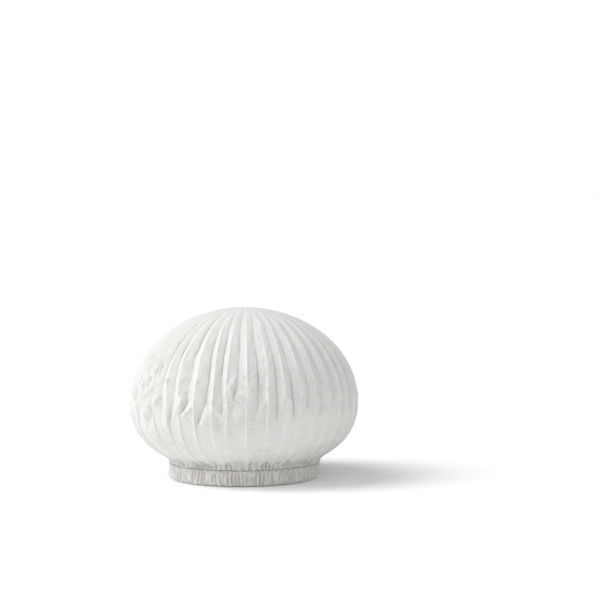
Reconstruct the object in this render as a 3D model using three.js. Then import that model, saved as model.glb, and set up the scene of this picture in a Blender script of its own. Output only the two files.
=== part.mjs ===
// A shower cap: one pleated crown sheet, gathered at its edge into a cased elastic band.
// Millimetres, +Z up. The origin is on the floor, in the middle of the band that the cap stands on.

import * as THREE from 'three';
import { toCreasedNormals } from 'three/addons/utils/BufferGeometryUtils.js';

// Between pieces that touch
const clearance = 0.3;

// Cloth
const clothThickness = 0.5;

// Bulb of the crown, measured over the pleats' crests
const bulbRadius = 108;
const domeRise = 88.5; // from the widest place up to the apex
const domeExponent = 2; // outline above the widest place: an ellipse
const underDrop = 65.5; // half height of the outline below the widest place
const underExponent = 2.4; // squarer than an ellipse, so the underside turns in late
const pleatCount = 44;
const pleatDepth = 4.2; // crest to valley, at its deepest

// Neck, where the crown is drawn in above the band
const neckRadius = 71.6;
const neckHeight = 5.1;
const seamPinch = 1.5; // how much further in the stitched edge lies

// Elastic, a flat strip wound once round with its ends overlapping
const elasticWidth = 8;
const elasticThickness = 0.8;
const elasticOverlap = 16;
const elasticSteps = 88; // in one turn

// Casing, a strip folded round the elastic
const bottomRound = 2.1; // height of the rounded lower edge
const crownTuck = 3.3; // how deep the crown's edge reaches into the casing
const gatherCount = 88;
const gatherDepth = 1.2; // how far the puffy gathers stand out of the seamed edge
const pinchHeight = 2.8; // over which they are pressed flat below the top edge
const restWidth = 2.1; // of the flat ring that the cap stands on

// Threads
const threadDiameter = 0.4;
const threadSides = 5;
const seamInset = 1; // of the stitched row, down from the casing's top edge
const elasticTackWidth = 10;
const elasticTackHeight = 4.5;
const closingTackWidth = 3;
const closingTackHeight = 6;

// Points round a ring: two for each fold, and fewer where the cloth lies smooth or hidden
const pleatPoints = 2 * pleatCount;
const gatherPoints = 2 * gatherCount;
const smoothPoints = pleatCount;

// Folds sharper than this are shaded as creases
const creaseAngle = THREE.MathUtils.degToRad(25);

// How much nearer the axis the middle of a ring's side lies than its corners
const smoothFlat = Math.cos(Math.PI / smoothPoints);
const elasticFlat = Math.cos(Math.PI / elasticSteps);

// Radii, from the crown's stitched edge outwards, and then inwards through the elastic and its stitches
const edgeRadius = neckRadius - seamPinch;
const outerPlyInside = (edgeRadius + clearance) / smoothFlat;
const outerPlyOutside = outerPlyInside + clothThickness;
const gatherRadius = outerPlyOutside + gatherDepth;
const innerPlyTop = (edgeRadius - clothThickness) * smoothFlat - clearance;
const stitchRoom = clearance + threadDiameter + clearance;
const elasticRadius = outerPlyInside * smoothFlat - stitchRoom;
const elasticLayer = elasticThickness + clearance;
const overlapSteps = Math.ceil((elasticSteps * elasticOverlap) / (2 * Math.PI * elasticRadius));
const elasticTurns = 1 + overlapSteps / elasticSteps;
const elasticInside = elasticRadius - elasticThickness - elasticLayer * elasticTurns;
const innerPlyOutside = elasticInside * elasticFlat - stitchRoom;
const innerPlyInside = innerPlyOutside - clothThickness;

// Heights, from the floor up
const elasticBottom = bottomRound + clearance;
const elasticTop = elasticBottom + elasticWidth;
const edgeHeight = elasticTop + clearance;
const casingHeight = edgeHeight + crownTuck;
const seamHeight = casingHeight - seamInset;
const neckTop = casingHeight + neckHeight;
const neckTurn = Math.acos((neckRadius / bulbRadius) ** (underExponent / 2));
const widestHeight = neckTop + underDrop * Math.sin(neckTurn) ** (2 / underExponent);

// Colours
const clothMaterial = { color: 0xf5f4f1, roughness: 0.9, metalness: 0 };
const elasticMaterial = { color: 0xf0eee8, roughness: 0.8, metalness: 0 };
const threadMaterial = { color: 0xfaf9f6, roughness: 0.6, metalness: 0 };

const cap = new THREE.Group();

function addPiece(name, geometry, material) {
  const mesh = new THREE.Mesh(geometry, new THREE.MeshStandardMaterial(material));
  mesh.name = name;
  cap.add(mesh);
}

// A place on a section through the axis. A folded ring there sinks by depth, against the normal, at each valley.
function station(radius, height, depth = 0, normal = new THREE.Vector2(1, 0)) {
  return { radius, height, depth, normal };
}

// A station on the bulb's outline. turn runs from 0 at the widest place to a quarter turn at the axis.
function bulbStation(turn, halfHeight, exponent, depth) {
  const out = Math.cos(turn) ** (2 / exponent);
  const along = Math.sin(turn) ** (2 / exponent);
  const slope = new THREE.Vector2(out ** (exponent - 1) / bulbRadius, along ** (exponent - 1) / halfHeight);
  return station(bulbRadius * out, widestHeight + halfHeight * along, depth, slope.normalize());
}

// Points of a ring round the axis, sunk into the cloth by a given amount. Every second point lies in a valley.
function ring(place, pointCount, sunk = 0) {
  const points = [];
  for (let i = 0; i < pointCount; i += 1) {
    const depth = sunk + (i % 2) * place.depth;
    const radius = place.radius - place.normal.x * depth;
    const azimuth = (2 * Math.PI * i) / pointCount;
    const height = place.height - place.normal.y * depth;
    points.push(new THREE.Vector3(radius * Math.cos(azimuth), radius * Math.sin(azimuth), height));
  }
  return points;
}

// Triangles between two loops of points, stepping along whichever loop lags behind
function joinLoops(first, second, triangles) {
  let i = 0;
  let j = 0;
  while (i < first.length || j < second.length) {
    const nextFirst = (i + 1) / first.length;
    const nextSecond = (j + 1) / second.length;
    const corner = [first[i % first.length], second[j % second.length]];
    if (i < first.length && nextFirst <= nextSecond) {
      i += 1;
      if (first.length > 1) {
        triangles.push([...corner, first[i % first.length]]);
      }
    } else {
      j += 1;
      if (second.length > 1) {
        triangles.push([...corner, second[j % second.length]]);
      }
    }
  }
}

// A closed solid through loops of points. It closes on its first loop, or ends in a cap or a single point.
function solidThrough(loops, closesOnItself) {
  const points = loops.flat();
  const triangles = [];
  let start = 0;
  const numbered = loops.map((loop) => {
    const numbers = loop.map((_, i) => start + i);
    start += loop.length;
    return numbers;
  });
  for (let i = 1; i < numbered.length; i += 1) {
    joinLoops(numbered[i - 1], numbered[i], triangles);
  }
  const [firstLoop, lastLoop] = [numbered[0], numbered.at(-1)];
  if (closesOnItself) {
    joinLoops(lastLoop, firstLoop, triangles);
  } else {
    for (let i = 2; i < firstLoop.length; i += 1) {
      triangles.push([firstLoop[0], firstLoop[i - 1], firstLoop[i]]);
      triangles.push([lastLoop[0], lastLoop[i], lastLoop[i - 1]]);
    }
  }

  // The signed volume tells which way the faces point
  let volume = 0;
  for (const [a, b, c] of triangles) {
    volume += points[a].dot(new THREE.Vector3().crossVectors(points[b], points[c]));
  }
  if (volume < 0) {
    triangles.forEach((triangle) => triangle.reverse());
  }
  const geometry = new THREE.BufferGeometry().setFromPoints(points);
  geometry.setIndex(triangles.flat());
  return toCreasedNormals(geometry, creaseAngle);
}

// A closed run of thread through points, mitred at each
function threadLoop(points) {
  const loops = points.map((point, i) => {
    const before = points.at(i - 1);
    const after = points[(i + 1) % points.length];
    const arriving = new THREE.Vector3().subVectors(point, before).normalize();
    const leaving = new THREE.Vector3().subVectors(after, point).normalize();
    const along = new THREE.Vector3().addVectors(arriving, leaving).normalize();
    const outward = new THREE.Vector3(point.x, point.y, 0).normalize();
    const across = new THREE.Vector3().crossVectors(along, outward).normalize();
    const mitre = 1 / along.dot(leaving);
    const loop = [];
    for (let side = 0; side < threadSides; side += 1) {
      const angle = (2 * Math.PI * side) / threadSides;
      const corner = point.clone();
      corner.addScaledVector(outward, (threadDiameter / 2) * Math.cos(angle));
      corner.addScaledVector(across, (threadDiameter / 2) * Math.sin(angle) * mitre);
      loop.push(corner);
    }
    return loop;
  });
  return solidThrough(loops, true);
}

// A row of stitches all the way round
function roundThread(radius, height) {
  return threadLoop(ring(station(radius, height), elasticSteps));
}

// A box of stitches lying on a cylinder, centred at the back of the band
function boxThread(radius, width, height, middle) {
  const halfTurn = width / radius / 2;
  const turnShares = [-1, -1 / 3, 1 / 3, 1];
  const corner = (turnShare, level) => {
    const azimuth = Math.PI / 2 + halfTurn * turnShare;
    return new THREE.Vector3(radius * Math.cos(azimuth), radius * Math.sin(azimuth), level);
  };
  const low = turnShares.map((share) => corner(share, middle - height / 2));
  const high = turnShares.map((share) => corner(-share, middle + height / 2));
  return threadLoop([...low, ...high]);
}

// Crown sheet: its outer face from the apex to the stitched edge, and its inner face back again
const domeTurnShares = [0.8, 0.62, 0.45, 0.3, 0.15];
const domeDepthShares = [0, 0.5, 0.77, 0.92, 1];
const underTurnShares = [0.34, 0.68, 1];
const underDepthShares = [0.85, 0.6, 0.4];
const quarterTurn = Math.PI / 2;

const crownRings = [
  ...domeTurnShares.map((share, i) => ({
    place: bulbStation(share * quarterTurn, domeRise, domeExponent, pleatDepth * domeDepthShares[i]),
    pointCount: i === 0 ? smoothPoints : pleatPoints,
  })),
  { place: bulbStation(0, domeRise, domeExponent, pleatDepth), pointCount: pleatPoints },
  ...underTurnShares.map((share, i) => ({
    place: bulbStation(share * neckTurn, -underDrop, underExponent, pleatDepth * underDepthShares[i]),
    pointCount: pleatPoints,
  })),
  { place: station(edgeRadius, casingHeight + clearance), pointCount: smoothPoints },
  { place: station(edgeRadius, edgeHeight), pointCount: smoothPoints },
];

const apexHeight = widestHeight + domeRise;
const crownOutside = crownRings.map(({ place, pointCount }) => ring(place, pointCount));
const crownInside = crownRings.map(({ place, pointCount }) => ring(place, pointCount, clothThickness));
const crownSheet = solidThrough(
  [
    [new THREE.Vector3(0, 0, apexHeight)],
    ...crownOutside,
    ...crownInside.reverse(),
    [new THREE.Vector3(0, 0, apexHeight - clothThickness)],
  ],
  false,
);

// Casing strip: its section, from the outer ply's top edge down the outside, under the elastic, and up the inside
const puffTop = casingHeight - pinchHeight;
const lowShares = { height: 0.4, drawnIn: 0.5, depth: 0.5 };
const restRadius = (gatherRadius + innerPlyInside + restWidth) / 2;
const floorHeight = clothThickness;

const casingFolded = [
  station(outerPlyOutside, casingHeight),
  station(gatherRadius, puffTop, gatherDepth),
  station(gatherRadius, bottomRound, gatherDepth),
  station(
    gatherRadius - gatherDepth * lowShares.drawnIn,
    bottomRound * lowShares.height,
    gatherDepth * lowShares.depth,
  ),
];
const casingSmooth = [
  station(restRadius, 0),
  station(restRadius - restWidth, 0),
  station(innerPlyInside, bottomRound),
  station(innerPlyInside, edgeHeight),
  station(innerPlyTop - clothThickness, casingHeight),
  station(innerPlyTop, casingHeight),
  station(innerPlyOutside, edgeHeight),
  station(innerPlyOutside, bottomRound),
  station(restRadius - restWidth + clothThickness, floorHeight),
  station(restRadius - clothThickness, floorHeight),
  station(outerPlyInside, bottomRound),
  station(outerPlyInside, casingHeight),
];
const casingStrip = solidThrough(
  [
    ...casingFolded.map((place) => ring(place, gatherPoints)),
    ...casingSmooth.map((place) => ring(place, smoothPoints)),
  ],
  true,
);

// Elastic band: a strip that spirals out by one layer in a turn, so its last stretch lies over its first
const elasticStep = (2 * Math.PI) / elasticSteps;
const elasticStart = quarterTurn - (overlapSteps * elasticStep) / 2;
const elasticLoops = [];
for (let i = 0; i <= elasticSteps + overlapSteps; i += 1) {
  const azimuth = elasticStart + i * elasticStep;
  const inside = elasticInside + (elasticLayer * i) / elasticSteps;
  const outside = inside + elasticThickness;
  const section = [
    [outside, elasticBottom],
    [outside, elasticTop],
    [inside, elasticTop],
    [inside, elasticBottom],
  ];
  elasticLoops.push(
    section.map(([radius, height]) => (
      new THREE.Vector3(radius * Math.cos(azimuth), radius * Math.sin(azimuth), height)
    )),
  );
}

// Threads: how far each lies from the axis, lifted off the cloth or the elastic that it holds
const threadLift = clearance + threadDiameter / 2;
const bandMiddle = (elasticBottom + elasticTop) / 2;

// The seam lies on the sloping top of the gathers outside, and on the leaning inner ply inside
const outerSlope = (gatherRadius - outerPlyOutside) / pinchHeight;
const innerSlope = (innerPlyTop - innerPlyOutside) / crownTuck;
const seamOutside = outerPlyOutside + outerSlope * seamInset + threadLift * Math.hypot(1, outerSlope);
const innerPlyAtSeam = innerPlyTop - clothThickness - innerSlope * seamInset;
const seamInside = innerPlyAtSeam * smoothFlat - threadLift * Math.hypot(1, innerSlope);

// A box of stitches holds the elastic's overlapping ends
const elasticTack = [elasticTackWidth, elasticTackHeight, bandMiddle];
const elasticTackOutside = elasticRadius + threadLift;
const elasticTackInside = elasticInside * elasticFlat - threadLift;

// A smaller box closes the casing, through the whole band
const closingTack = [closingTackWidth, closingTackHeight, bandMiddle];
const closingTackOutside = gatherRadius + threadLift;
const closingTackInside = innerPlyInside * smoothFlat - threadLift;

addPiece('crown_sheet', crownSheet, clothMaterial);
addPiece('casing_strip', casingStrip, clothMaterial);
addPiece('elastic_band', solidThrough(elasticLoops, false), elasticMaterial);
addPiece('seam_needle_thread', roundThread(seamOutside, seamHeight), threadMaterial);
addPiece('seam_bobbin_thread', roundThread(seamInside, seamHeight), threadMaterial);
addPiece('elastic_tack_needle_thread', boxThread(elasticTackOutside, ...elasticTack), threadMaterial);
addPiece('elastic_tack_bobbin_thread', boxThread(elasticTackInside, ...elasticTack), threadMaterial);
addPiece('closing_tack_needle_thread', boxThread(closingTackOutside, ...closingTack), threadMaterial);
addPiece('closing_tack_bobbin_thread', boxThread(closingTackInside, ...closingTack), threadMaterial);

export default cap;
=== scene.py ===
# A pleated shower cap of thin white cloth: its folded crown, gathered casing, elastic and stitches.
# Metres, +Z up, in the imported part's frame. Azimuths run from the front, -Y, towards +X.

import math
import bpy
import numpy as np
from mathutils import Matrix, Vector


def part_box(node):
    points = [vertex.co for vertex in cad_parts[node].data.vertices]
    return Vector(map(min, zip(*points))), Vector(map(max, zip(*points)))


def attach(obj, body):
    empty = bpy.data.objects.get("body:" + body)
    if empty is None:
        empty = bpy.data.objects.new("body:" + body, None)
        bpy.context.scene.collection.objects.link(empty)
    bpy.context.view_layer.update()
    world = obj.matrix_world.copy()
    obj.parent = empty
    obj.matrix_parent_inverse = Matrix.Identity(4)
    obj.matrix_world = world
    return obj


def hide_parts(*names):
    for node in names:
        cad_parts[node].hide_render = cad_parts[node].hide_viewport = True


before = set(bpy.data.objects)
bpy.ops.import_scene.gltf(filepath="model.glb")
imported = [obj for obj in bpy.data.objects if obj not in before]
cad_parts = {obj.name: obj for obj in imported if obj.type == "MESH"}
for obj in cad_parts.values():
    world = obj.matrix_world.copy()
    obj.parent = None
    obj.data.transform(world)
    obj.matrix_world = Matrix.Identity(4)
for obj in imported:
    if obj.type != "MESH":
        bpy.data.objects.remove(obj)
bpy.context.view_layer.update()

mm = 0.001
full_turn = 2 * math.pi
rng = np.random.default_rng(44)

# Sizes taken from the frame
crown_low, crown_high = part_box("crown_sheet")
_, casing_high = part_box("casing_strip")
elastic_low, elastic_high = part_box("elastic_band")
bulb_radius = crown_high.x
apex_height = crown_high.z
edge_height = crown_low.z
casing_height = casing_high.z

# The crown's outline, over the crests of its pleats
dome_rise = 88.5 * mm
under_exponent = 2.4
neck_height = 5.1 * mm
neck_radius = 71.6 * mm
edge_radius = 69.2 * mm
widest_height = apex_height - dome_rise
neck_top = casing_height + neck_height

cloth_thickness = 0.35 * mm


def ramp(values, start, end):
    """0 before start, 1 after end, with a soft step between. Start may be larger than end."""
    share = np.clip((values - start) / (end - start), 0, 1)
    return share * share * (3 - 2 * share)


def bump(values, middle, reach):
    """1 at the middle, falling softly to 0 at that reach on either side."""
    return 1 - ramp(np.abs(values - middle), 0, reach)


knot_shift_share = 0.4


def bent_lines(along, spacing, lines):
    """Random lines between -1 and 1 that bend about once in every spacing, one row for each line."""
    knots = np.arange(along.min() - spacing, along.max() + 2 * spacing, spacing)
    bent = []
    for _ in range(lines):
        shifted = knots + rng.uniform(-knot_shift_share, knot_shift_share, len(knots)) * spacing
        bent.append(np.interp(along, shifted, rng.uniform(-1, 1, len(knots))))
    return np.array(bent)


def crumple_table(columns, rows):
    """Random heights at the corners of a grid, and which way each of its squares is folded."""
    return rng.uniform(-1, 1, (columns, rows)), rng.integers(0, 2, (columns, rows))


def crumple(around, up, table):
    """Height of crumpled cloth: flat triangles between random corners. It repeats round the cap."""
    heights, folded_left = table
    columns, rows = heights.shape
    i, j = np.floor(around).astype(int), np.floor(up).astype(int)
    f, g = around - i, up - j
    left, right = i % columns, (i + 1) % columns
    low, high = j % rows, (j + 1) % rows
    a, b = heights[left, low], heights[right, low]
    c, d = heights[left, high], heights[right, high]
    rising = np.where(f > g, a + f * (b - a) + g * (d - b), a + g * (c - a) + f * (d - c))
    falling = np.where(f + g < 1, a + f * (b - a) + g * (c - a), d + (1 - f) * (c - d) + (1 - g) * (b - d))
    return np.where(folded_left[left, low] == 1, falling, rising)


def on_cap(azimuth, radius, height):
    """Points from azimuth, radius and height."""
    return np.stack((radius * np.sin(azimuth), -radius * np.cos(azimuth), height + 0 * azimuth), axis=-1)


def join_rings(first, second):
    """Faces between two rings of point numbers: squares where they match, else triangles."""
    if len(first) == len(second):
        return np.column_stack((first, second, np.roll(second, -1), np.roll(first, -1))).tolist()
    faces = []
    i = j = 0
    while i < len(first) or j < len(second):
        a, b = first[i % len(first)], second[j % len(second)]
        if i < len(first) and (i + 1) / len(first) <= (j + 1) / len(second):
            i += 1
            if len(first) > 1:
                faces.append([a, b, first[i % len(first)]])
        else:
            j += 1
            if len(second) > 1:
                faces.append([a, b, second[j % len(second)]])
    return faces


def add_mesh(name, points, faces):
    mesh = bpy.data.meshes.new(name)
    mesh.from_pydata(np.asarray(points).tolist(), [], faces)
    mesh.validate()
    piece = bpy.data.objects.new(name, mesh)
    bpy.context.scene.collection.objects.link(piece)
    return piece


def through_rings(name, rings, closes_on_itself=False, capped=False):
    """A surface through rings of points, each with its own count."""
    numbers = []
    start = 0
    for ring in rings:
        numbers.append(np.arange(start, start + len(ring)))
        start += len(ring)
    pairs = list(zip(numbers, numbers[1:]))
    if closes_on_itself:
        pairs.append((numbers[-1], numbers[0]))
    faces = []
    for first, second in pairs:
        faces += join_rings(first, second)
    if capped:
        faces += [numbers[0].tolist(), numbers[-1][::-1].tolist()]
    return add_mesh(name, np.vstack(rings), faces)


def add_painted_light_and_shade(piece, shades):
    """Painted light and shade at each point: above 0 a painted highlight on a crest, partly the paler
    pressed fold, below 0 painted shade, deepest in a gather.
    """
    painted_light_and_shade = piece.data.attributes.new("painted_light_and_shade", "FLOAT", "POINT")
    painted_light_and_shade.data.foreach_set("value", np.concatenate(shades))


def apply_modifiers(piece):
    """The piece's mesh becomes what its modifiers make of it."""
    seen = piece.evaluated_get(bpy.context.evaluated_depsgraph_get())
    mesh = bpy.data.meshes.new_from_object(seen)
    piece.modifiers.clear()
    piece.data = mesh


def make_cloth(piece, thickness, sharp_angle):
    """Gives a surface the cloth's thickness, away from the side that shows.

    Its folds are sharp where it turns by more than that angle, in degrees.
    """
    piece.data.shade_smooth()
    solidify = piece.modifiers.new("thickness", "SOLIDIFY")
    solidify.thickness = thickness
    solidify.offset = -1
    apply_modifiers(piece)
    piece.data.set_sharp_from_angle(angle=math.radians(sharp_angle))


def resampled(outline, steps):
    """The same outline with even steps, and each point's way along it."""
    along = np.concatenate(([0], np.cumsum(np.hypot(*np.diff(outline, axis=0).T))))
    even = np.linspace(0, along[-1], steps)
    return np.column_stack([np.interp(even, along, axis) for axis in outline.T]), even


def rounded(outline, reach):
    """The outline with its corners rounded over that many of its steps. Its ends stay."""
    padded = np.pad(outline, ((reach, reach), (0, 0)), mode="reflect", reflect_type="odd")
    weights = np.hanning(2 * reach + 3)[1:-1]
    weights /= weights.sum()
    return np.column_stack([np.convolve(axis, weights, mode="valid") for axis in padded.T])


# The seam, which opens and closes between the gathers. Where it lies open, painted shadow darkens it
seam_patches = 140
seam_darkness = rng.uniform(-0.5, 1, seam_patches).clip(0)
opening_painted_shadow_range = (0.05, 0.5)


def seam_shade(azimuth):
    """How open the seam is, and so how dark its painted shadow is, from 0 where it is closed to 1."""
    places = np.arange(seam_patches) / seam_patches * full_turn
    return np.interp(azimuth, places, seam_darkness, period=full_turn)


def seam_closed(azimuth):
    """1 where the cloth on either side of the seam bulges over it, 0 where the seam lies open."""
    return 1 - ramp(seam_shade(azimuth), *opening_painted_shadow_range)


# Crown: its outline as a run of places from the apex down to the stitched edge
outline_steps = 1200
neck_rounding = 4
turns = np.linspace(0, math.pi / 2, outline_steps)
neck_turn = math.acos((neck_radius / bulb_radius) ** (under_exponent / 2))
under_turns = np.linspace(0, neck_turn, outline_steps)
power = 2 / under_exponent
dome = np.column_stack((bulb_radius * np.sin(turns), widest_height + dome_rise * np.cos(turns)))
under = np.column_stack((
    bulb_radius * np.cos(under_turns) ** power,
    widest_height - (widest_height - neck_top) * (np.sin(under_turns) / math.sin(neck_turn)) ** power,
))
tuck_height = casing_height + 0.4 * mm

# The neck's places under the bulb: how far outside the neck's radius and over the casing's top, in mm
neck_places = np.array([(0.3, 4.0), (0.8, 2.4), (0.6, 1.4), (-0.6, 0.9)])
neck = np.vstack((
    (neck_radius, casing_height) + neck_places * mm,
    [(edge_radius, tuck_height), (edge_radius, edge_height)],
))
crown_outline, crown_along = resampled(np.vstack((dome, under[1:], neck)), outline_steps)
crown_outline = rounded(crown_outline, neck_rounding)
crown_slope = np.gradient(crown_outline, crown_along, axis=0)
crown_normal = np.column_stack((-crown_slope[:, 1], crown_slope[:, 0]))
crown_normal /= np.hypot(*crown_normal.T)[:, None]


def way_at(height):
    """How far along the crown's outline, from the apex down, that height over the floor is reached."""
    return float(np.interp(-height, -crown_outline[:, 1], crown_along))


widest_along = way_at(widest_height)
neck_along = way_at(neck_top)

# Crown: rows of points down the outline, as ways along it
dome_start = 33 * mm
middle_start = widest_along - 28 * mm
under_start = widest_along + 25 * mm
neck_start = neck_along - 9 * mm
seam_start = neck_along + 2.5 * mm
seam_end = neck_along + 7 * mm
crown_rows = {
    "apex": np.array([4, 9, 14, 19, 24, 29]) * mm,
    "dome": np.linspace(dome_start, middle_start, 19, endpoint=False),
    "middle": np.linspace(middle_start, under_start, 29, endpoint=False),
    "under": np.linspace(under_start, neck_start, 9, endpoint=False),
    "neck": np.linspace(neck_start, seam_start, 9, endpoint=False),
    "seam": np.append(np.linspace(seam_start, seam_end, 7), crown_along[-1]),
}

# Crown: the pleats in front, from left to right. Each has its crest, in degrees, how steep its sides are,
# where between the crests its valley lies, the height in mm where it turns from facets into panels, how
# far the valley steps aside on its way there and over how many mm, how many mm higher the turn is at the
# next crest, and the depth in mm of the sharp line in its valley. Those on the right are shallow.
pleat_count = 44
front_pleats = np.array([
    (-34.8, 0.40, 0.50, 59, -0.40, 18, 12, 0.8),
    (-28.3, 0.38, 0.54, 67, -0.40, 8, 5, 0.8),
    (-19.3, 0.40, 0.62, 57, -0.50, 20, 11, 0.6),
    (-11.0, 0.38, 0.56, 66, 0.10, 20, 6, 0.9),
    (-4.5, 0.30, 0.54, 80, -0.20, 8, 8, 0.8),
    (5.0, 0.15, 0.52, 70, 0.00, 10, 10, 1.3),
    (14.6, 0.13, 0.50, 62, -0.06, 10, 10, 1.2),
    (22.3, 0.13, 0.46, 64, 0.00, 10, 10, 1.3),
    (30.2, 0.14, 0.46, 70, -0.10, 10, 10, 1.2),
    (38.6, 0.15, 0.50, 66, -0.10, 10, 12, 1.0),
    (46.1, 0.17, 0.55, 72, -0.20, 12, 8, 0.8),
    (55.0, 0.20, 0.52, 63, -0.30, 12, 10, 0.8),
    (63.4, 0.24, 0.56, 68, -0.20, 10, 12, 0.8),
])
front_count = len(front_pleats)
front_crests, front_slopes, front_valleys, front_turns = front_pleats.T[:4]
front_steps, front_reaches, front_slants, front_notches = front_pleats.T[4:]

# Crown: the pleats round the back, from the last one in front to the first. Their widths, in degrees, are
# random, and then fitted to the room between the two.
narrowest_pleat = 6.5
widest_pleat = 9.6
hidden_count = pleat_count - front_count + 1
hidden_widths = rng.uniform(narrowest_pleat, widest_pleat, hidden_count)
hidden_widths *= (360 - front_crests[-1] + front_crests[0]) / hidden_widths.sum()
crests = np.concatenate((front_crests, front_crests[-1] + np.cumsum(hidden_widths)[:-1]))
crests = np.radians(crests)

pleat_slopes = rng.uniform(0.34, 0.5, pleat_count)
pleat_slopes[:front_count] = front_slopes
valley_shares = rng.uniform(0.5, 0.62, pleat_count)
valley_shares[:front_count] = front_valleys
# How strong the painted highlight on each pleat's crest is
crest_painted_highlights = rng.uniform(0.5, 1, pleat_count)

# Each side of a pleat turns from a straight facet into a hollow panel along a slant, which starts in the
# valley. The valley itself steps aside above it. At the back the turn is softer.
turning_heights = rng.uniform(60, 82, pleat_count) * mm
turning_heights[:front_count] = front_turns * mm
turning_reaches = rng.uniform(1.5, 4.5, pleat_count) * mm
back_softness = 2.2
turning_reaches[front_count:] *= back_softness
turning_slants = np.array([rng.uniform(-6, 16, pleat_count), rng.uniform(4, 24, pleat_count)]) * mm
turning_slants[1, :front_count] = front_slants * mm
valley_steps = rng.uniform(-0.28, 0, pleat_count)
valley_steps[:front_count] = front_steps
step_reaches = rng.uniform(8, 18, pleat_count) * mm
step_reaches[:front_count] = front_reaches * mm

fold_shares = {
    "coarse": np.array([0, 0.25, 0.5, 0.75]),
    "fine": np.array([0, 0.03, 0.08, 0.18, 0.32, 0.45, 0.5, 0.55, 0.68, 0.82, 0.92, 0.97]),
    "even": np.arange(12) / 12,
    "neck": np.arange(24) / 24,
}
gathers_in_pleat = rng.integers(2, 6, pleat_count)
gather_starts = np.concatenate(([0], np.cumsum(gathers_in_pleat)[:-1]))
gather_depths = rng.uniform(1.6, 2.8, gathers_in_pleat.sum() + 1) * mm
gather_reaches = rng.uniform(-1.5, 2, gathers_in_pleat.sum() + 1) * mm
gather_leans = rng.uniform(-0.3, 0.3, pleat_count)

# Crown: crumples. Two nets lean opposite ways, a third bends both, and a fourth makes patches of them
# stronger. Each has its count round the cap. The rises are in mm: the least, and what is added where the
# cloth is most crumpled. Crests and valleys stay calm.
left_round = 96
right_round = 88
bends_round = 30
patches_round = 14
left_crumples = crumple_table(left_round, 40)
right_crumples = crumple_table(right_round, 40)
crumple_warp = crumple_table(bends_round, 20)
crumple_patches = crumple_table(patches_round, 12)
crumple_size = 15 * mm
crumple_patch_size = 26 * mm
left_lean = 0.8
right_lean = -0.9
left_bends = (1.2, -0.9)
right_bends = (-1.1, 0.8)
most_crumpled_height = 74 * mm
crumpled_reach = 40 * mm
least_crumple = 0.25
added_crumple = 1.15
patch_middle = 0.6
patch_change = 0.4
calm_crest_share = 0.3
calm_valley_share = 0.6
calm_valley_start = 0.8

# Crown: faint lines across, where it was folded flat: height, azimuth of the middle and half the length
flat_fold_depth = 0.35 * mm
flat_fold_reach = 2.2 * mm
flat_fold_full_share = 0.6
flat_folds = [
    (88.5 * mm, math.radians(-40), math.radians(18)),
    (84.8 * mm, math.radians(-5), math.radians(12)),
    (99.6 * mm, math.radians(-37), math.radians(16)),
    (92.0 * mm, math.radians(120), math.radians(30)),
    (86.0 * mm, math.radians(-150), math.radians(25)),
]

wander = bent_lines(crown_along, 40 * mm, pleat_count)
depth_changes = bent_lines(crown_along, 22 * mm, pleat_count)
valley_changes = bent_lines(crown_along, 16 * mm, pleat_count)
notch_changes = bent_lines(crown_along, 24 * mm, pleat_count)
notch_depths = rng.uniform(0.4, 1.5, pleat_count) * mm
notch_depths[:front_count] = front_notches * mm


# Crown: the ranges of its random short folds: how far from the widest place, half the length, the slant as
# a share, the rise and the width of either side, all lengths in mm. Two in three rise, and the others sink.
random_shard_count = 90
shard_places = (-34, 4, 34)
shard_reaches = (5, 13)
shard_slant_shares = (0.15, 0.7)
shard_rises = (0.4, 1.1)
shard_sides = (1.6, 5)
shard_margin = 6 * mm
shard_taper = 0.7


def random_shards(count):
    """Short sharp folds that lie aslant: both ends, the rise and the width of either side."""
    folds = []
    for _ in range(count):
        azimuth = rng.uniform(0, full_turn)
        way = widest_along + rng.triangular(*shard_places) * mm
        reach = rng.uniform(*shard_reaches) * mm
        slant = rng.uniform(*shard_slant_shares) * rng.choice((-1, 1))
        across = reach * slant / bulb_radius
        rise = rng.uniform(*shard_rises) * mm * rng.choice((-1, 1, 1))
        sides = rng.uniform(*shard_sides, 2) * mm
        folds.append(((azimuth - across, way - reach), (azimuth + across, way + reach), rise, sides))
    return folds


def shard_rise(azimuth, way, radius, shard):
    """How far one short fold lifts the cloth along a ring."""
    (first_azimuth, first_way), (last_azimuth, last_way), rise, sides = shard
    if not first_way - shard_margin < way < last_way + shard_margin:
        return 0
    run = (last_azimuth - first_azimuth) * radius
    drop = last_way - first_way
    length = math.hypot(run, drop)
    x = ((azimuth - first_azimuth + math.pi) % full_turn - math.pi) * radius
    y = way - first_way
    along = (x * run + y * drop) / length
    off = (x * drop - y * run) / length
    tent = np.clip(1 - np.abs(off) / np.where(off > 0, sides[0], sides[1]), 0, 1)
    tapered = np.clip(4 * (along / length) * (1 - along / length), 0, 1) ** shard_taper
    return rise * tent * tapered


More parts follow.
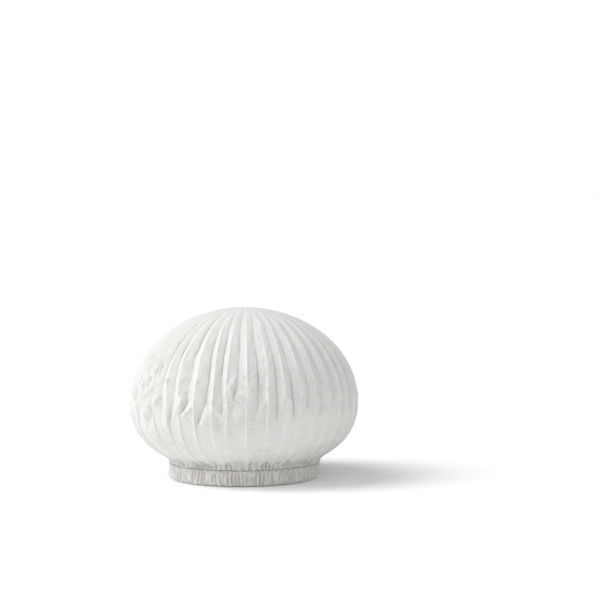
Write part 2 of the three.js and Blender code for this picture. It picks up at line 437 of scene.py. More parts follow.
# Crown: the short folds that show in front: azimuth in degrees and height in mm of both ends, the rise in
# mm, which is below 0 where the fold sinks, and the width of either side in mm
front_shards = [
    ((-19.9, 74), (-24.2, 65), 1.6, (2.0, 4.5)),
    ((-27.9, 75), (-31.2, 58), 1.5, (2.2, 4.0)),
    ((-13.5, 72), (-17.0, 55), 1.6, (2.5, 4.0)),
    ((-3.6, 86), (3.9, 77), 1.4, (4.5, 2.2)),
    ((9.8, 73), (6.4, 57), -2.6, (1.6, 2.6)),
    ((-46.0, 92), (-52.0, 78), 1.3, (2.4, 4.0)),
    ((-39.0, 84), (-43.5, 71), 1.4, (2.2, 4.0)),
    ((-34.0, 98), (-38.5, 84), 1.2, (2.4, 3.6)),
    ((15.5, 84), (11.5, 70), 1.2, (2.2, 3.4)),
    ((-9.5, 66), (-6.0, 52), -1.2, (2.2, 3.0)),
    ((-56.5, 119), (-60.5, 105), -3.2, (2.4, 4.6)),
    ((-48.5, 98), (-53.5, 81), -3.6, (2.4, 5.0)),
    ((-41.5, 109), (-44.5, 93), -3.0, (2.4, 4.4)),
    ((-45.5, 71), (-49.0, 54), -3.0, (2.4, 4.6)),
    ((-54.0, 98), (-57.5, 86), 1.8, (3.0, 4.0)),
    ((-61.5, 88), (-66.0, 71), -3.0, (2.4, 4.6)),
]


shards = random_shards(random_shard_count)
for (azimuth_1, height_1), (azimuth_2, height_2), rise, sides in front_shards:
    shards.append((
        (math.radians(azimuth_1), way_at(height_1 * mm)), (math.radians(azimuth_2), way_at(height_2 * mm)),
        rise * mm, np.array(sides) * mm,
    ))


# Crown: where its folds set in and where they are full, as distances from the axis
axis_radii = (5 * mm, 20 * mm)
depth_radii = (35 * mm, 92 * mm)
wander_radii = (20 * mm, 80 * mm)
valley_line_radii = (30 * mm, 80 * mm)
crumple_radii = (12 * mm, 60 * mm)
# The painted crest highlight and painted valley shade set in and are full at these radii
painted_highlight_radii = (8 * mm, 40 * mm)
painted_valley_shade_radii = (15 * mm, 60 * mm)

# Crown: how the folds give way to the neck's gathers, as ways along the outline and heights over the floor
even_fold_ways = (neck_along - 30 * mm, neck_along - 9 * mm)
even_pleat_ways = (neck_along - 5 * mm, neck_along + 2 * mm)
unfolded_ways = (neck_along - 1 * mm, neck_along + 4 * mm)
gathered_ways = (neck_along - 1.5 * mm, neck_along + 1 * mm)
gather_climb = 7.5 * mm
pinched_heights = (casing_height + 1.6 * mm, casing_height + 0.8 * mm)
sewn_heights = (casing_height + 0.8 * mm, casing_height + 0.2 * mm)
bulge_heights = (casing_height + 0.2 * mm, casing_height + 0.8 * mm)
bulge_end_heights = (casing_height + 4 * mm, casing_height + 2 * mm)
bulge_radius = neck_radius + 0.5 * mm
# Where the painted shadow at the seam sets in and where it is full
seam_shade_heights = (casing_height + 2.2 * mm, casing_height + 1.1 * mm)
hang_drop = 1 * mm
hang_way = neck_along - 1 * mm
hang_reach = 7 * mm

# Crown: the proportions of its folds. Ridges and panels are measured in shares of half a pleat's width
crest_wander = math.radians(0.7)
valley_change_share = 0.05
valley_limit_shares = (0.12, 0.8)
ridge_share = 0.12
ridge_reach_share = 0.07
facet_ridge_share = 0.3
panel_share = 0.03
depth_change_share = 0.22
notch_middle_share = 0.25
least_notch_share = 0.1
notch_fade_share = 0.8
axis_depth_share = 0.2
crown_sharp_angle = 16

# Crown: how far the gathers are pressed flat, how round they are, and how the crests hang over them
pinched_share = 0.6
sewn_share = 0.8
gather_roundness = 1.4
hang_sharpness = 1.5
hang_out_share = 0.35

# Crown: how far its painted highlight and painted shade reach from a crest or a valley, as shares of half a
# pleat, and how dark the painted shade is
painted_highlight_reach_share = 0.13
painted_valley_shade_reach_share = 0.12
# Painted shade in the depth of the neck's gathers
gather_painted_shade = 0.5
crown_seam_darkness = 1.4
painted_valley_shade_strength = 0.9


def crumple_depth(azimuth, way, radius, height, way_out):
    """How deep the crumples are along a ring. They are strongest just under the widest place."""
    around = azimuth / full_turn
    up = way / crumple_size
    shift = crumple(around * bends_round, up / 2, crumple_warp)
    left_around = around * left_round + left_lean * up + left_bends[0] * shift
    right_around = around * right_round + right_lean * up + right_bends[0] * shift
    left = crumple(left_around, up + left_bends[1] * shift, left_crumples)
    right = crumple(right_around, up + right_bends[1] * shift, right_crumples)
    middle = bump(height, most_crumpled_height, crumpled_reach)
    top = ramp(radius, *crumple_radii)
    calm = ramp(way_out, 0, calm_crest_share)
    calm = calm * (1 - calm_valley_share * ramp(way_out, calm_valley_start, 1))
    patches = crumple(around * patches_round, way / crumple_patch_size, crumple_patches)
    patchy = patch_middle + patch_change * patches
    crumpled = (least_crumple + added_crumple * middle * patchy) * (left + right) * calm
    return crumpled * mm * top


def crown_ring(way, shares):
    """The points and the painted light and shade of one ring of the crown, pleated, crumpled, and gathered
    at the neck.
    """
    radius = np.interp(way, crown_along, crown_outline[:, 0])
    height = np.interp(way, crown_along, crown_outline[:, 1])
    normal = [np.interp(way, crown_along, axis) for axis in crown_normal.T]
    row = np.searchsorted(crown_along, way).clip(0, len(crown_along) - 1)
    near_neck = ramp(way, *even_pleat_ways)

    # Where each pleat's crest and valley lie in this ring
    spread = ramp(radius, *wander_radii) * (1 - near_neck)
    crest = crests + crest_wander * spread * wander[:, row]
    width = np.diff(np.append(crest, crest[0] + full_turn))
    step = valley_steps * np.clip((turning_heights - height) / step_reaches + 1, 0, 1)
    change = valley_change_share * spread * valley_changes[:, row]
    valley = np.clip(valley_shares + step + change, *valley_limit_shares)
    valley = valley * (1 - near_neck) + near_neck / 2

    pleat = np.repeat(np.arange(pleat_count), len(shares))
    fold = np.tile(shares, pleat_count)
    rising = (fold >= 0.5).astype(int)
    way_out = 1 - np.abs(2 * fold - 1)
    half = np.where(rising == 0, way_out * valley[pleat], 1 - way_out * (1 - valley[pleat]))
    azimuth = crest[pleat] + width[pleat] * half

    # The gathers climb higher between the crests than at them
    leaning = half + gather_leans[pleat] * half * (1 - half)
    across = gather_starts[pleat] + gathers_in_pleat[pleat] * leaning
    gather = across.astype(int)
    climb = (gather_climb + gather_reaches[gather]) * way_out
    in_neck = ramp(way + climb, *unfolded_ways)
    gathered = ramp(way + climb, *gathered_ways)

    # Depth of the fold: straight facets above, thin ridges between hollow panels below
    turn_height = turning_heights[pleat] + turning_slants[rising, pleat] * (1 - way_out)
    hollow = ramp(height, turn_height + turning_reaches[pleat], turn_height - turning_reaches[pleat])
    half_width = radius * width[pleat] / 2
    ridge = ridge_share * (1 - np.exp(-way_out / ridge_reach_share))
    facet = pleat_slopes[pleat] * way_out + facet_ridge_share * ridge
    panel = ridge + panel_share * (1 - (1 - way_out) ** 2)
    depth = half_width * (facet * (1 - hollow) + panel * hollow)
    depth *= 1 + depth_change_share * depth_changes[pleat, row]
    notch_shares = np.clip(notch_middle_share + notch_changes[pleat, row], least_notch_share, 1)
    notch = notch_depths[pleat] * notch_shares
    valley_line = notch * np.exp(-(1 - way_out) / ridge_reach_share)
    valley_line = valley_line * (1 - notch_fade_share * hollow) * ramp(radius, *valley_line_radii)
    near_axis = axis_depth_share * ramp(radius, *axis_radii)
    depth *= near_axis + (1 - axis_depth_share) * ramp(radius, *depth_radii)
    depth += valley_line
    depth *= 1 - in_neck

    # Crumples and short sharp folds
    depth += crumple_depth(azimuth, way, radius, height, way_out) * (1 - in_neck)
    for shard in shards:
        depth -= shard_rise(azimuth, way, radius, shard)

    # Faint lines across, where the cap was folded flat
    for fold_height, fold_middle, fold_reach in flat_folds:
        apart = np.abs((azimuth - fold_middle + math.pi) % full_turn - math.pi)
        near = bump(height, fold_height, flat_fold_reach)
        depth += flat_fold_depth * near * ramp(apart, fold_reach, flat_fold_full_share * fold_reach)

    # Gathers of the neck, pressed flat where the seam holds them
    pinched = 1 - pinched_share * ramp(height, *pinched_heights)
    pinched *= 1 - sewn_share * ramp(height, *sewn_heights)
    groove = (1 - np.abs(np.sin(math.pi * (across + 0.5))) ** gather_roundness) * gathered
    depth += gather_depths[gather] * groove * pinched

    # The crests hang over the neck as small points
    hang = hang_drop * (1 - way_out) ** hang_sharpness * bump(way, hang_way, hang_reach)

    # Where the seam is closed, the cloth bulges over it
    bulge = seam_closed(azimuth) * ramp(height, *bulge_heights)
    bulge *= max(bulge_radius - radius, 0) * ramp(height, *bulge_end_heights)
    out = radius - normal[0] * depth + hang_out_share * hang + bulge
    points = on_cap(azimuth, out, height - normal[1] * depth - hang)

    # Painted highlight along the crests, partly the paler pressed fold, and painted shade deep in the
    # gathers, at the seam and along the valleys
    near_crest = np.exp(-way_out / painted_highlight_reach_share)
    near_valley = np.exp(-(1 - way_out) / painted_valley_shade_reach_share)
    painted_crest_highlight = crest_painted_highlights[pleat] * near_crest * ramp(radius, *painted_highlight_radii) * (1 - in_neck)
    seam = seam_shade(azimuth) * ramp(height, *seam_shade_heights)
    painted_valley_shade = near_valley * (1 - hollow) * (1 - in_neck) * ramp(radius, *painted_valley_shade_radii)
    painted_light_and_shade = painted_crest_highlight - gather_painted_shade * groove - crown_seam_darkness * seam - painted_valley_shade_strength * painted_valley_shade
    # The valleys' sharp notches also get painted shade, darker the deeper they are
    return points, painted_light_and_shade - valley_line / notch_depths.max()


def make_crown():
    rings = [(np.array([[0, 0, apex_height]]), np.zeros(1))]
    for way in crown_rows["apex"]:
        rings.append(crown_ring(way, fold_shares["coarse"]))
    for way in np.concatenate((crown_rows["dome"], crown_rows["middle"])):
        rings.append(crown_ring(way, fold_shares["fine"]))
    for way in crown_rows["under"]:
        evened = ramp(way, *even_fold_ways)
        rings.append(crown_ring(way, fold_shares["fine"] * (1 - evened) + fold_shares["even"] * evened))
    for way in np.concatenate((crown_rows["neck"], crown_rows["seam"])):
        rings.append(crown_ring(way, fold_shares["neck"]))
    points, shades = zip(*rings)
    crown = through_rings("pleated_crown", points)
    add_painted_light_and_shade(crown, shades)
    make_cloth(crown, cloth_thickness, crown_sharp_angle)
    return crown


# Casing: its section, as distances from the axis and heights, down the outer ply and up the inner one
casing_section = np.array([
    [70.3, 14.5], [70.9, 14.2], [70.7, 13.5], [71.6, 12.5], [72.3, 11.0], [72.7, 8.5], [72.6, 5.0],
    [72.1, 2.6], [71.3, 1.0], [70.0, 0.1], [68.4, 0.0], [67.1, 0.5], [66.2, 2.0], [65.9, 4.5], [66.0, 8.5],
    [66.6, 11.2], [67.7, 13.1], [68.1, 14.2],
]) * mm
casing_steps = 60
casing_rows = 34
casing_outline, casing_along = resampled(casing_section, casing_steps)
casing_outline = rounded(casing_outline, 2)
casing_slope = np.gradient(casing_outline, casing_along, axis=0)
casing_normal = np.column_stack((-casing_slope[:, 1], casing_slope[:, 0]))
casing_normal /= np.hypot(*casing_normal.T)[:, None]
floor_way = casing_along[np.argmin(casing_outline[:, 1])]
seam_height = casing_height - 0.5 * mm
outer_ply = casing_outline[:casing_steps // 2]
outer_along = casing_along[:casing_steps // 2]
seam_way = np.interp(-seam_height, -outer_ply[:, 1], outer_along)

# Casing: the tubes that its cloth gathers into, whose widths are in proportion to each other, and the gaps
# between them, which wander, deepen and run out
tube_count = 124
tube_columns = 10
narrowest_tube = 2.2
widest_tube = 5.2
tube_depth = 3.2 * mm
inner_depth = 0.5 * mm
tube_widths = rng.uniform(narrowest_tube, widest_tube, tube_count)
gap_places = np.cumsum(tube_widths) / tube_widths.sum() * full_turn
gap_lean = math.radians(0.7)
gap_leans = bent_lines(casing_along, 8 * mm, tube_count)
gap_leans = (np.roll(gap_leans, 1, axis=0) + gap_leans + np.roll(gap_leans, -1, axis=0)) * gap_lean
gap_depths = rng.uniform(0.6, 1.25, tube_count)
gap_changes = bent_lines(casing_along, 6 * mm, tube_count)
tube_sinks = rng.uniform(0, 0.5, tube_count)
tube_powers = rng.uniform(1.1, 2.4, tube_count)
gap_change_share = 0.6
least_gap = 0.25
# Painted shade in the gaps between the tubes and at the open seam
tube_gap_painted_shade = 1.6
casing_seam_darkness = 1.3

# Casing: its two ends lap at the back, where the closing tack presses the gathers flat
lap_rise = 0.45 * mm
lap_reach = math.radians(3.4)
lap_start_share = 1.1
tack_press_share = 0.8

# Casing: where its outer ply ends, how seam and floor hold its gathers, how it bulges at the seam, and
# where painted shadow darkens it at the seam
outer_ways = (floor_way - 2 * mm, floor_way + 2 * mm)
seam_hold_share = 0.5
seam_hold_reach = 1.4 * mm
floor_hold_share = 0.15
floor_hold_reach = 2 * mm
closed_seam_radius = neck_radius + 0.3 * mm
closed_seam_ways = (seam_way + 3 * mm, seam_way)
seam_dark_ways = (seam_way + 1.2 * mm, seam_way - 0.4 * mm)
casing_sharp_angle = 40

# Casing: what lies between its plies, each as its least and greatest distance from the axis and height
cloth_clearance = 0.25 * mm
elastic_room = 2 * mm
crown_edge_room = 0.7 * mm
between_plies = [
    (elastic_high.y - elastic_room, elastic_high.y, elastic_low.z, elastic_high.z),
    (edge_radius - crown_edge_room, edge_radius, edge_height, casing_height),
]


def room_inside(radius, height):
    """How far the casing's cloth can sink here and stay clear of what lies between its plies."""
    apart = min(
        math.hypot(max(near - radius, radius - far, 0), max(low - height, height - high, 0))
        for near, far, low, high in between_plies
    )
    return max(apart - cloth_thickness - cloth_clearance, 0)


def casing_ring(way):
    """Azimuths, radii, heights and painted shade of one ring of the casing, gathered into tubes."""
    radius, height = [np.interp(way, casing_along, axis) for axis in casing_outline.T]
    outward = [np.interp(way, casing_along, axis) for axis in casing_normal.T]
    row = np.searchsorted(casing_along, way).clip(0, casing_steps - 1)
    edge = gap_places + gap_leans[:, row]
    width = np.diff(np.append(edge, edge[0] + full_turn))
    tube = np.repeat(np.arange(tube_count), tube_columns)
    across = np.tile(np.arange(tube_columns) / tube_columns, tube_count)
    azimuth = edge[tube] + width[tube] * across

    gap = np.clip(gap_depths * (1 + gap_change_share * gap_changes[:, row]), least_gap, 1)
    gap = gap[tube] * (1 - across) + np.roll(gap, -1)[tube] * across
    puff = np.sin(math.pi * across) ** tube_powers[tube]
    relief = gap * (1 - puff) + np.minimum(tube_sinks[tube], gap) * puff
    outer = 1 - ramp(way, *outer_ways)
    held = 1 - seam_hold_share * bump(way, seam_way, seam_hold_reach)
    on_floor = 1 - floor_hold_share * bump(way, floor_way, floor_hold_reach)
    from_back = azimuth % full_turn - math.pi
    pressed = 1 - tack_press_share * bump(from_back, 0, 2 * lap_reach)
    sunk = relief * (tube_depth * outer + inner_depth * (1 - outer)) * held * on_floor * pressed
    sunk = np.minimum(sunk, room_inside(radius, height))
    lap_start = ramp(from_back, -lap_start_share * lap_reach, -lap_reach)
    sunk -= lap_rise * outer * lap_start * ramp(from_back, lap_reach, 0)
    radius += max(closed_seam_radius - radius, 0) * seam_closed(azimuth) * ramp(way, *closed_seam_ways)
    # Painted shade, deepest in the gaps between tubes and where the seam lies open
    seam = casing_seam_darkness * seam_shade(azimuth) * ramp(way, *seam_dark_ways)
    painted_light_and_shade = -tube_gap_painted_shade * relief * outer - seam
    return azimuth, radius - outward[0] * sunk, np.maximum(height - outward[1] * sunk, 0), painted_light_and_shade


def casing_radius(azimuth, way):
    """How far from the axis the casing's cloth lies at these azimuths."""
    ring_azimuth, radius, _, _ = casing_ring(way)
    return np.interp(azimuth, ring_azimuth, radius, period=full_turn)


def make_casing():
    rings = [casing_ring(way) for way in np.linspace(0, casing_along[-1], casing_rows)]
    casing = through_rings("gathered_casing", [on_cap(*ring[:3]) for ring in rings])
    add_painted_light_and_shade(casing, [ring[3] for ring in rings])
    make_cloth(casing, cloth_thickness, casing_sharp_angle)
    return casing


# Elastic: a flat strip with ribs along it, once round and a little more, each turn outside the one before
elastic_thickness = 0.8 * mm
elastic_gap = 0.3 * mm
elastic_overlap = 16 * mm
elastic_ribs = 7
steps_in_rib = 6
elastic_steps = 240
rib_rise = 0.12 * mm
elastic_sharp_angle = 50


def make_elastic():
    overlap = elastic_overlap / elastic_high.y
    turned = full_turn + overlap
    growth = (elastic_thickness + elastic_gap) / full_turn
    inside = elastic_high.y - elastic_thickness - growth * turned
    shares = np.linspace(0, 1, steps_in_rib * elastic_ribs + 1)
    heights = elastic_low.z + (elastic_high.z - elastic_low.z) * shares
    groove = rib_rise * (1 - np.sqrt(np.abs(np.sin(math.pi * elastic_ribs * shares))))
    rings = []
    for way in np.linspace(0, turned, elastic_steps):
        near = inside + growth * way
        radii = np.concatenate((near + elastic_thickness - groove, (near + groove)[::-1]))
        azimuth = math.pi - overlap / 2 + way
        rings.append(on_cap(azimuth, radii, np.concatenate((heights, heights[::-1]))))
    elastic = through_rings("ribbed_elastic", rings, capped=True)
    elastic.data.shade_smooth()
    elastic.data.set_sharp_from_angle(angle=math.radians(elastic_sharp_angle))
    return elastic


# Threads: rows of stitches that dip into the cloth at their holes
thread_thickness = 0.34 * mm
thread_sides = 6
hole_depth = 0.7 * mm
hole_sharpness = 6
points_in_stitch = 10
seam_stitch = 2.4 * mm
tack_stitch = 1.5 * mm


def make_thread(name, path):
    """A round thread along a closed path on the band."""
    along = np.roll(path, -1, axis=0) - np.roll(path, 1, axis=0)
    outward = path * (1, 1, 0)
    side = np.cross(outward, along)
    side /= np.linalg.norm(side, axis=1)[:, None]
    lift = np.cross(along, side)
    lift /= np.linalg.norm(lift, axis=1)[:, None]
    turn = np.arange(thread_sides)[:, None] / thread_sides * full_turn
    rings = [
        place + thread_thickness / 2 * (np.cos(turn) * up + np.sin(turn) * aside)
        for place, up, aside in zip(path, lift, side)
    ]
    thread = through_rings(name, rings, closes_on_itself=True)
    thread.data.shade_smooth()
    return thread


def stitches(azimuth, radius, height, facing):
    """A thread's path over cloth of that radius. It faces outwards, 1, or inwards, -1."""
    share = np.arange(len(azimuth)) % points_in_stitch / points_in_stitch
    dip = hole_depth * np.abs(np.cos(math.pi * share)) ** hole_sharpness
    return on_cap(azimuth, radius + facing * (thread_thickness / 2 - dip), height)


def make_seam(name, way, facing):
    """The row of stitches all the way round. Each bridges the gathers under it."""
    radius = np.interp(way, casing_along, casing_outline[:, 0])
    count = round(full_turn * radius / seam_stitch)
    azimuth = np.arange(count * points_in_stitch) / (count * points_in_stitch) * full_turn
    cloth = facing * casing_radius(azimuth, way).reshape(count, points_in_stitch)
    level = facing * np.repeat(cloth.max(axis=1), points_in_stitch)
    height = np.interp(way, casing_along, casing_outline[:, 1])
    return make_thread(name, stitches(azimuth, level, height, facing))


def make_tack(name, node, radius, facing):
    """A box of stitches at the back of the band, on cloth of that radius."""
    low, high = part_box(node)
    half_width = high.x - thread_thickness / 2
    half_height = (high.z - low.z) / 2 - thread_thickness / 2
    middle = (high.z + low.z) / 2
    corners = np.array([[-1, -1], [1, -1], [1, 1], [-1, 1], [-1, -1]]) * (half_width, half_height)
    sides = np.hypot(*np.diff(corners, axis=0).T)
    counts = np.round(sides / tack_stitch).astype(int) * points_in_stitch
    places = np.vstack([
        start + (end - start) * np.arange(count)[:, None] / count
        for start, end, count in zip(corners, corners[1:], counts)
    ])
    azimuth = math.pi - places[:, 0] / radius
    return make_thread(name, stitches(azimuth, radius, middle + places[:, 1], facing))


# Materials: the cloth's fibres, clouds and crinkles, which fade towards the apex
noise_roughness = 0.65
specular_level = 0.2
cloth_roughness = 0.92
# The span of fibres, clouds and painted light and shade over which the cloth's colour runs from dark to
# pale
cloth_tone_and_painted_light_range = (-0.2, 2.2)
cloth_fibre_size = 0.7 * mm
cloth_fibre_depth = 0.05 * mm
cloud_size = 9 * mm
crinkle_patch_size = 32 * mm
crinkle_least_height = 135 * mm
crinkle_full_height = 95 * mm
crinkle_bend = 6 * mm
crown_crinkles = [(9 * mm, 1.8 * mm), (4 * mm, 0.6 * mm)]
casing_crinkles = [(4 * mm, 0.6 * mm), (2 * mm, 0.25 * mm)]


def add_node(tree, kind, **inputs):
    node = tree.nodes.new(kind)
    for name, value in inputs.items():
        node.inputs[name.replace("_", " ")].default_value = value
    return node


def add_math(tree, operation, first, second):
    """A sum of two sockets, or of a socket and a number."""
    node = tree.nodes.new("ShaderNodeMath")
    node.operation = operation
    tree.links.new(first, node.inputs[0])
    if isinstance(second, (int, float)):
        node.inputs[1].default_value = second
    else:
        tree.links.new(second, node.inputs[1])
    return node.outputs["Value"]


def new_material(name, roughness):
    """A matt material, its nodes, its shader and the place on the object that its textures follow."""
    material = bpy.data.materials.new(name)
    material.use_nodes = True
    tree = material.node_tree
    shader = tree.nodes["Principled BSDF"]
    shader.inputs["Roughness"].default_value = roughness
    shader.inputs["Specular IOR Level"].default_value = specular_level
    return material, tree, shader, tree.nodes.new("ShaderNodeTexCoord").outputs["Object"]


def add_tint(tree, shader, pattern, low, high, dark_colour, colour):
    """The shader's colour goes from dark to light as the pattern goes from low to high."""
    share = add_node(tree, "ShaderNodeMapRange", From_Min=low, From_Max=high)
    tint = add_node(tree, "ShaderNodeMixRGB", Color1=(*dark_colour, 1), Color2=(*colour, 1))
    tree.links.new(pattern, share.inputs["Value"])
    tree.links.new(share.outputs["Result"], tint.inputs["Fac"])
    tree.links.new(tint.outputs["Color"], shader.inputs["Base Color"])


def add_bump(tree, pattern, depth, strength=1, under=None):
    """A bump of that depth over the one under it. The strength may be a socket."""
    node = add_node(tree, "ShaderNodeBump", Distance=depth)
    tree.links.new(pattern, node.inputs["Height"])
    if isinstance(strength, (int, float)):
        node.inputs["Strength"].default_value = strength
    else:
        tree.links.new(strength, node.inputs["Strength"])
    if under:
        tree.links.new(under, node.inputs["Normal"])
    return node.outputs["Normal"]


def add_noise(tree, place, size, detail, output="Fac"):
    node = add_node(tree, "ShaderNodeTexNoise", Scale=1 / size, Detail=detail, Roughness=noise_roughness)
    tree.links.new(place, node.inputs["Vector"])
    return node.outputs[output]


def cloth_material(name, colour, dark_colour, crinkles):
    """Thin matt nonwoven: clouded fibres over patches of crinkles, each kind with its size and depth.

    Its colour carries each point's painted light and shade: a painted highlight on crests, partly the paler
    pressed fold, and painted shade in its gathers, valleys and seam.
    """
    material, tree, shader, place = new_material(name, cloth_roughness)
    fibres = add_noise(tree, place, cloth_fibre_size, 4)
    clouds = add_noise(tree, place, cloud_size, 3)
    # Painted light and shade from the mesh: highlights on crests, shade in gathers, gaps, valleys and the
    # seam
    painted_light_attribute = tree.nodes.new("ShaderNodeAttribute")
    painted_light_attribute.attribute_name = "painted_light_and_shade"
    pattern = add_math(tree, "ADD", add_math(tree, "ADD", fibres, clouds), painted_light_attribute.outputs["Fac"])
    add_tint(tree, shader, pattern, *cloth_tone_and_painted_light_range, dark_colour, colour)

    patches = add_node(tree, "ShaderNodeMapRange", From_Min=0.4, From_Max=0.62, To_Min=0.3)
    tree.links.new(add_noise(tree, place, crinkle_patch_size, 1), patches.inputs["Value"])
    axes = tree.nodes.new("ShaderNodeSeparateXYZ")
    tree.links.new(place, axes.inputs["Vector"])
    lower = add_node(
        tree, "ShaderNodeMapRange", From_Min=crinkle_least_height, From_Max=crinkle_full_height, To_Min=0.2)
    tree.links.new(axes.outputs["Z"], lower.inputs["Value"])
    crinkled = add_math(tree, "MULTIPLY", patches.outputs["Result"], lower.outputs["Result"])
    warped = add_node(tree, "ShaderNodeMixRGB", Fac=crinkle_bend)
    warped.blend_type = "ADD"
    tree.links.new(place, warped.inputs["Color1"])
    tree.links.new(add_noise(tree, place, crinkle_bend, 2, "Color"), warped.inputs["Color2"])
    normal = add_bump(tree, fibres, cloth_fibre_depth)
    for size, depth in crinkles:
        cells = add_node(tree, "ShaderNodeTexVoronoi", Scale=1 / size, Randomness=1)
        tree.links.new(warped.outputs["Color"], cells.inputs["Vector"])
        normal = add_bump(tree, cells.outputs["Distance"], depth, crinkled, normal)
    tree.links.new(normal, shader.inputs["Normal"])
    return material


def thread_material(name, colour, dark_colour):
    """Spun thread: fine fibres with darker creases between them."""
    fibre_size = 0.12 * mm
    fibre_depth = 0.04 * mm
    material, tree, shader, place = new_material(name, 0.8)
    fibres = add_noise(tree, place, fibre_size, 3)
    add_tint(tree, shader, fibres, 0.35, 0.65, dark_colour, colour)
    tree.links.new(add_bump(tree, fibres, fibre_depth), shader.inputs["Normal"])
    return material


def elastic_material(name, colour, dark_colour, picks):
    """Woven elastic: cross threads all the way round, that many in all, under fine fibres."""
    fibre_size = 0.25 * mm
    fibre_depth = 0.05 * mm
    pick_depth = 0.06 * mm
    material, tree, shader, place = new_material(name, 0.75)
    turn = add_node(tree, "ShaderNodeTexGradient")
    turn.gradient_type = "RADIAL"
    tree.links.new(place, turn.inputs["Vector"])
    wave = add_math(tree, "SINE", add_math(tree, "MULTIPLY", turn.outputs["Fac"], full_turn * picks), 0)
    fibres = add_noise(tree, place, fibre_size, 3)
    add_tint(tree, shader, add_math(tree, "ADD", fibres, wave), -0.2, 1.2, dark_colour, colour)
    normal = add_bump(tree, wave, pick_depth, 1, add_bump(tree, fibres, fibre_depth))
    tree.links.new(normal, shader.inputs["Normal"])
    return material


def floor_material(name, colour):
    """A smooth pale table with the faintest grain. It glows a little, which keeps its shades light."""
    glow = 0.05
    grain_size = 4 * mm
    material, tree, shader, place = new_material(name, 0.9)
    shader.inputs["Emission Color"].default_value = (1, 1, 1, 1)
    shader.inputs["Emission Strength"].default_value = glow
    grain = add_noise(tree, place, grain_size, 2)
    add_tint(tree, shader, grain, 0.2, 0.8, [0.99 * share for share in colour], colour)
    return material


elastic_picks = 520
# Both are the same white nonwoven. Painted shade takes each towards its dark colour, painted crest
# highlights the crown towards its pale one
crown_cloth = cloth_material("crown_cloth", (0.815, 0.81, 0.795), (0.615, 0.605, 0.59), crown_crinkles)
casing_cloth = cloth_material("casing_cloth", (0.99, 0.98, 0.965), (0.62, 0.605, 0.585), casing_crinkles)
thread_finish = thread_material("thread", (0.84, 0.83, 0.81), (0.72, 0.71, 0.69))
elastic_finish = elastic_material("elastic", (0.84, 0.82, 0.78), (0.70, 0.68, 0.64), elastic_picks)

# Pieces
crown = make_crown()
crown.data.materials.append(crown_cloth)
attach(crown, "root")
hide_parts("crown_sheet")

casing = make_casing()
casing.data.materials.append(casing_cloth)
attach(casing, "root")
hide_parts("casing_strip")

elastic = make_elastic()
elastic.data.materials.append(elastic_finish)
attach(elastic, "root")
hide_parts("elastic_band")

# Where the threads lie. Both turns of the elastic are between the two threads of its tack
inner_seam_margin = 1.2 * mm
closing_tack_height = 7 * mm
lap_gaps = 1.3
inner_seam_way = casing_along[-1] - inner_seam_margin
tack_way = np.interp(-closing_tack_height, -outer_ply[:, 1], outer_along)
inner_tack_way = casing_along[-1] - tack_way
elastic_outside = elastic_high.y
elastic_inside = elastic_outside - 2 * elastic_thickness - lap_gaps * elastic_gap
closing_outside = casing_radius(math.pi, tack_way)
closing_inside = casing_radius(math.pi, inner_tack_way)
threads = {
    "seam_needle_thread": make_seam("seam_needle_stitches", seam_way, 1),
    "seam_bobbin_thread": make_seam("seam_bobbin_stitches", inner_seam_way, -1),
    "elastic_tack_needle_thread": make_tack(
        "elastic_tack_needle_stitches", "elastic_tack_needle_thread", elastic_outside, 1),
    "elastic_tack_bobbin_thread": make_tack(
        "elastic_tack_bobbin_stitches", "elastic_tack_bobbin_thread", elastic_inside, -1),
    "closing_tack_needle_thread": make_tack(
        "closing_tack_needle_stitches", "closing_tack_needle_thread", closing_outside, 1),
    "closing_tack_bobbin_thread": make_tack(
        "closing_tack_bobbin_stitches", "closing_tack_bobbin_thread", closing_inside, -1),
}
for node, thread in threads.items():
    thread.data.materials.append(thread_finish)
    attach(thread, "root")
    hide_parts(node)


# Floor, light and camera
def make_floor():
    reach = 3.0
    corners = [[-reach, -reach, 0], [reach, -reach, 0], [reach, reach, 0], [-reach, reach, 0]]
    floor = add_mesh("floor", corners, [[0, 1, 2, 3]])
    floor.data.materials.append(floor_material("floor", (0.98, 0.98, 0.98)))


def add_sun(name, azimuth, elevation, energy, spread):
    """A soft light from that azimuth and elevation, in degrees."""
    light = bpy.data.lights.new(name, "SUN")
    light.energy = energy
    light.angle = math.radians(spread)
    lamp = bpy.data.objects.new(name, light)
    lamp.rotation_euler = (math.radians(90 - elevation), 0, math.radians(azimuth))
    bpy.context.scene.collection.objects.link(lamp)


def add_card(name, azimuth, distance, height, size, power):
    """A lit card that stands on the floor and faces the cap."""
    light = bpy.data.lights.new(name, "AREA")
    light.shape = "RECTANGLE"
    light.size, light.size_y = size
    light.energy = power
    lamp = bpy.data.objects.new(name, light)
    turn = math.radians(azimuth)
    lamp.location = (distance * math.sin(turn), -distance * math.cos(turn), height)
    lamp.rotation_euler = (math.pi / 2, 0, turn)
    lamp.visible_camera = False
    bpy.context.scene.collection.objects.link(lamp)


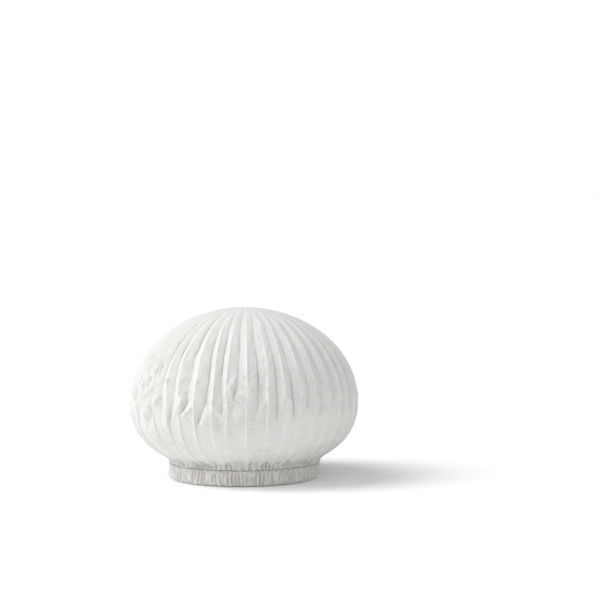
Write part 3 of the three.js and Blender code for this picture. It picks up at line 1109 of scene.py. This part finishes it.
def make_light():
    """A white backdrop, and a sky that is brighter on one side, with two soft lights and a low card."""
    sky_slope = (0.17, -0.3, 0.18)
    sky_middle = 0.365
    sky_least = 0.04
    world = bpy.data.worlds.new("studio")
    bpy.context.scene.world = world
    world.use_nodes = True
    tree = world.node_tree
    sky = tree.nodes["Background"]
    sky.inputs["Color"].default_value = (1, 1, 1, 1)
    towards = tree.nodes.new("ShaderNodeVectorMath")
    towards.operation = "DOT_PRODUCT"
    towards.inputs[1].default_value = sky_slope
    tree.links.new(tree.nodes.new("ShaderNodeTexCoord").outputs["Generated"], towards.inputs[0])
    strength = add_math(tree, "ADD", towards.outputs["Value"], sky_middle)
    tree.links.new(add_math(tree, "MAXIMUM", strength, sky_least), sky.inputs["Strength"])
    backdrop = add_node(tree, "ShaderNodeBackground", Color=(1, 1, 1, 1), Strength=1)
    seen = tree.nodes.new("ShaderNodeLightPath").outputs["Is Camera Ray"]
    both = tree.nodes.new("ShaderNodeMixShader")
    tree.links.new(seen, both.inputs["Fac"])
    tree.links.new(sky.outputs["Background"], both.inputs[1])
    tree.links.new(backdrop.outputs["Background"], both.inputs[2])
    tree.links.new(both.outputs["Shader"], tree.nodes["World Output"].inputs["Surface"])
    add_sun("side", azimuth=-76, elevation=36, energy=1.05, spread=40)
    add_sun("above", azimuth=-82, elevation=57, energy=1.4, spread=40)
    add_card("low_card", azimuth=-72, distance=0.3, height=0.015, size=(0.3, 0.03), power=0.045)


def make_camera():
    """A level camera in front. The picture's middle is moved up, as the cap stands low in the photo."""
    focal_length = 50.1
    sensor_width = 36
    picture_pixels = 600
    shift_pixels = 57
    aside = 52.7 * mm
    distance = 800 * mm
    eye_height = 114 * mm
    lens = bpy.data.cameras.new("camera")
    lens.lens = focal_length
    lens.sensor_width = sensor_width
    lens.shift_y = shift_pixels / picture_pixels
    camera = bpy.data.objects.new("camera", lens)
    camera.location = (aside, -distance, eye_height)
    camera.rotation_euler = (math.pi / 2, 0, 0)
    bpy.context.scene.collection.objects.link(camera)
    bpy.context.scene.camera = camera


make_floor()
make_light()
make_camera()
bpy.context.scene.view_settings.view_transform = "Standard"
